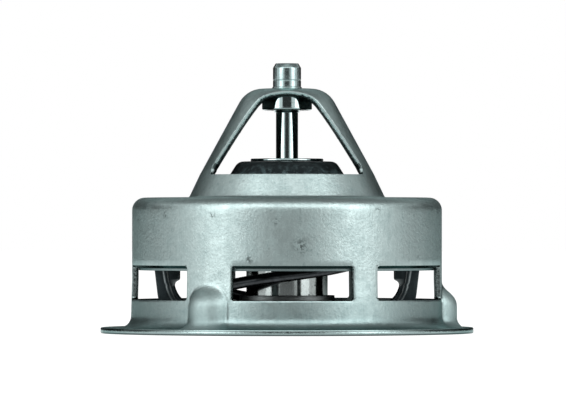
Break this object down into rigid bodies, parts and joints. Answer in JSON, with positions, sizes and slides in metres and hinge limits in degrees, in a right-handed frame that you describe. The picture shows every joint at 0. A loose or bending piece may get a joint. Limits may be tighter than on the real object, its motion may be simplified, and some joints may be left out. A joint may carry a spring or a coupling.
{
  "type": "engine thermostat",
  "caption": "Wax thermostat insert: flanged cup with side windows, cone yoke with a thrust pin, sliding valve with skirt, conical spring and lower bridge.",
  "frame": {"origin": "centre of the flange's underside, on the axis of the insert", "axes": "+Z along the axis from the flange to the yoke; +X along the yoke's strap and through one lug"},
  "size_m": [0.065, 0.065, 0.047],
  "materials": {
    "zinc_grey_sheet": "drawn sheet steel, matt grey with a soft sheen",
    "dark_sheet": "drawn sheet steel, dull and darker",
    "pin_steel": "turned steel, satin",
    "polished_steel": "ground and polished steel",
    "spring_steel": "dark oiled spring wire",
    "element_brass": "turned brass",
    "element_shell": "drawn brass cup, bright tinned",
    "valve_rubber": "moulded black rubber",
    "inner_rubber": "moulded rubber",
    "wax": "wax with copper powder",
    "slip_plastic": "plain white slip plastic"
  },
  "bodies": {
    "frame": {"housing": "zinc_grey_sheet", "thrust_pin": "pin_steel", "piston": "polished_steel", "lower_bridge": "dark_sheet", "main_spring": "spring_steel", "rubber_plug": "inner_rubber", "anti_extrusion_washer": "slip_plastic"},
    "valve": {"slide_valve": "zinc_grey_sheet", "valve_rubber": "valve_rubber", "retaining_washer": "polished_steel", "wax_cup": "element_shell", "wax_charge": "wax", "diaphragm": "inner_rubber", "guide_sleeve": "element_brass", "piston_seal": "inner_rubber"}
  },
  "joints": [
    {"name": "valve_stroke", "type": "slide", "parent": "frame", "child": "valve", "axis": [0, 0, -1], "range_m": [0, 0.007], "stiffness_N_per_m": 9000, "springref_m": -0.008, "deforming": ["main_spring"]}
  ]
}
